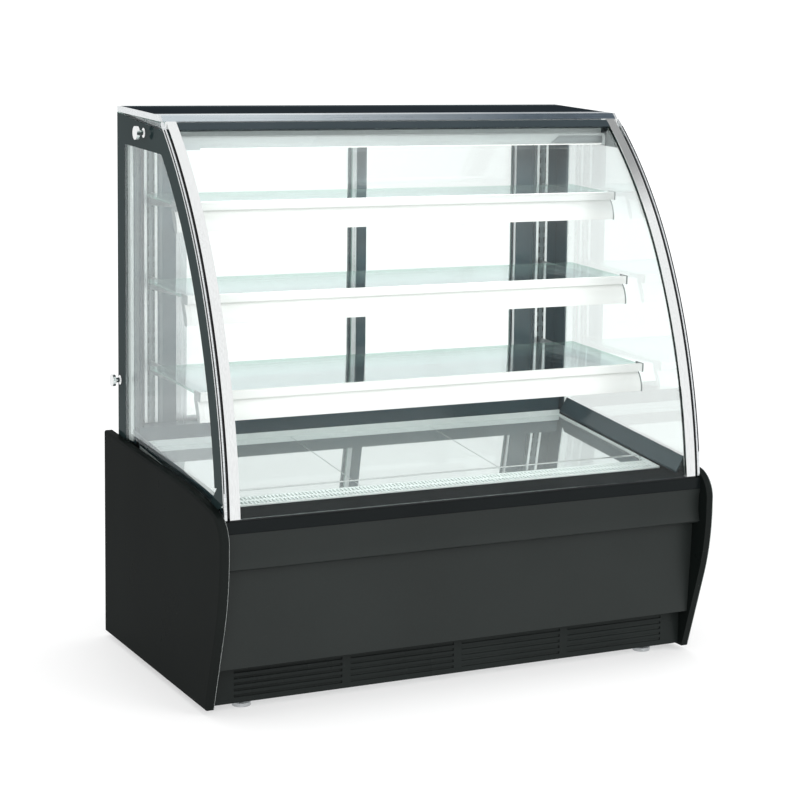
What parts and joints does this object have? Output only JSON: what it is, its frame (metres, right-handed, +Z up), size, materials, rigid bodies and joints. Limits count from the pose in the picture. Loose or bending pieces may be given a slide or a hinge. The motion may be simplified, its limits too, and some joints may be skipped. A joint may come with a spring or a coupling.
{
  "type": "glass display showcase",
  "caption": "Refrigerated counter showcase with a curved lift-up front glass, tilted glass shelves, sliding rear doors and a dark base cabinet.",
  "frame": {"origin": "on the floor, at the middle of the whole footprint", "axes": "+X to the right seen from the customer side, +Y to the rear service side, +Z up"},
  "size_m": [1.205, 0.7703, 1.25],
  "materials": {
    "end_panel": "satin near-black moulded end panels",
    "front_paint": "satin charcoal front panels",
    "black_rail": "semi-gloss black rail",
    "slate": "satin dark slate frames",
    "dark_top": "gloss dark slate top",
    "dark_rail": "dark slate powder-coated extrusion",
    "rear_sheet": "satin black sheet",
    "clear_glass": "clear tempered glass",
    "aluminium": "satin anodised aluminium",
    "polished": "polished stainless bands and pins",
    "rubber": "black rubber gasket",
    "white_fascia": "white shelf fascias",
    "grey_plastic": "grey end caps and lamp ends",
    "white_paint": "white well liner and grille",
    "diffuser": "opal lamp diffuser",
    "galvanised": "galvanised sheet and tube",
    "stainless": "brushed stainless deck plates",
    "copper": "copper pipe",
    "compressor_black": "black enamel",
    "fan_plastic": "black moulded fan",
    "foam_white": "insulated well moulding"
  },
  "bodies": {
    "cabinet": {"side_panel_left": "end_panel", "side_panel_right": "end_panel", "base_frame": "galvanised", "front_rail": "black_rail", "front_bumper": "front_paint", "front_panel": "front_paint", "kick_grille": "front_paint", "rear_panel": "rear_sheet", "rear_ledge": "stainless", "well_tub": "foam_white", "evaporator_coil": "aluminium", "evaporator_fan_plate": "galvanised", "deck_liner": "white_paint", "deck_plates": "stainless", "air_grille": "white_paint", "deck_frames": "slate", "deck_rear_wall": "slate", "wire_guard": "polished", "machine_tray": "galvanised", "compressor": "compressor_black", "condenser_coil": "aluminium", "condenser_shroud": "galvanised", "refrigerant_pipes": "copper", "control_panel": "black_rail", "power_cord": "rubber", "side_glass_left": "clear_glass", "side_glass_right": "clear_glass", "side_edge_trims": "aluminium", "glass_gaskets": "rubber", "hinge_brackets": "polished", "glass_pins": "polished", "top_front_rail": "aluminium", "top_panel": "dark_top", "top_side_strips": "aluminium", "top_rear_rail": "dark_rail", "lamp_canopy": "aluminium", "lamp_diffuser": "diffuser", "rear_posts": "slate", "rear_jambs": "aluminium", "shelf_standards": "aluminium", "door_track": "aluminium", "shelf_glasses": "clear_glass", "shelf_fascias": "white_fascia", "shelf_end_caps": "grey_plastic", "shelf_brackets": "galvanised"},
    "front_leaf": {"front_glass": "clear_glass", "front_bands": "polished", "hinge_rail": "dark_rail"},
    "left_door": {"door_left_frame": "aluminium", "door_left_glass": "clear_glass"},
    "right_door": {"door_right_frame": "slate", "door_right_glass": "clear_glass"},
    "evaporator_rotor": {"evaporator_fan": "fan_plastic"},
    "condenser_rotor": {"condenser_fan": "fan_plastic"},
    "knob": {"thermostat_knob": "fan_plastic"},
    "switch": {"lamp_switch": "fan_plastic"},
    "levelling_foot_front_left": {"foot_front_left": "galvanised"},
    "levelling_foot_front_right": {"foot_front_right": "galvanised"},
    "levelling_foot_rear_left": {"foot_rear_left": "galvanised"},
    "levelling_foot_rear_right": {"foot_rear_right": "galvanised"}
  },
  "joints": [
    {"name": "front_glass_lift", "type": "hinge", "parent": "cabinet", "child": "front_leaf", "pos_m": [0, 0.02445, 1.21399], "axis": [-1, 0, 0], "range_deg": [0, 50]},
    {"name": "left_door_slide", "type": "slide", "parent": "cabinet", "child": "left_door", "axis": [1, 0, 0], "range_m": [0, 0.435]},
    {"name": "right_door_slide", "type": "slide", "parent": "cabinet", "child": "right_door", "axis": [-1, 0, 0], "range_m": [0, 0.435]},
    {"name": "evaporator_fan_spin", "type": "hinge", "parent": "cabinet", "child": "evaporator_rotor", "pos_m": [0, 0.015, 0.321], "axis": [0, 1, 0], "continuous": true},
    {"name": "condenser_fan_spin", "type": "hinge", "parent": "cabinet", "child": "condenser_rotor", "pos_m": [-0.14, -0.101, 0.104], "axis": [0, 1, 0], "continuous": true},
    {"name": "thermostat_turn", "type": "hinge", "parent": "cabinet", "child": "knob", "pos_m": [-0.3, 0.355, 0.44], "axis": [0, 1, 0], "range_deg": [0, 270]},
    {"name": "lamp_switch_rock", "type": "hinge", "parent": "cabinet", "child": "switch", "pos_m": [-0.38, 0.358, 0.44], "axis": [1, 0, 0], "range_deg": [-7, 7]},
    {"name": "foot_front_left_screw", "type": "slide", "parent": "cabinet", "child": "levelling_foot_front_left", "axis": [0, 0, 1], "range_m": [-0.015, 0.01]},
    {"name": "foot_front_right_screw", "type": "slide", "parent": "cabinet", "child": "levelling_foot_front_right", "axis": [0, 0, 1], "range_m": [-0.015, 0.01]},
    {"name": "foot_rear_left_screw", "type": "slide", "parent": "cabinet", "child": "levelling_foot_rear_left", "axis": [0, 0, 1], "range_m": [-0.015, 0.01]},
    {"name": "foot_rear_right_screw", "type": "slide", "parent": "cabinet", "child": "levelling_foot_rear_right", "axis": [0, 0, 1], "range_m": [-0.015, 0.01]}
  ]
}
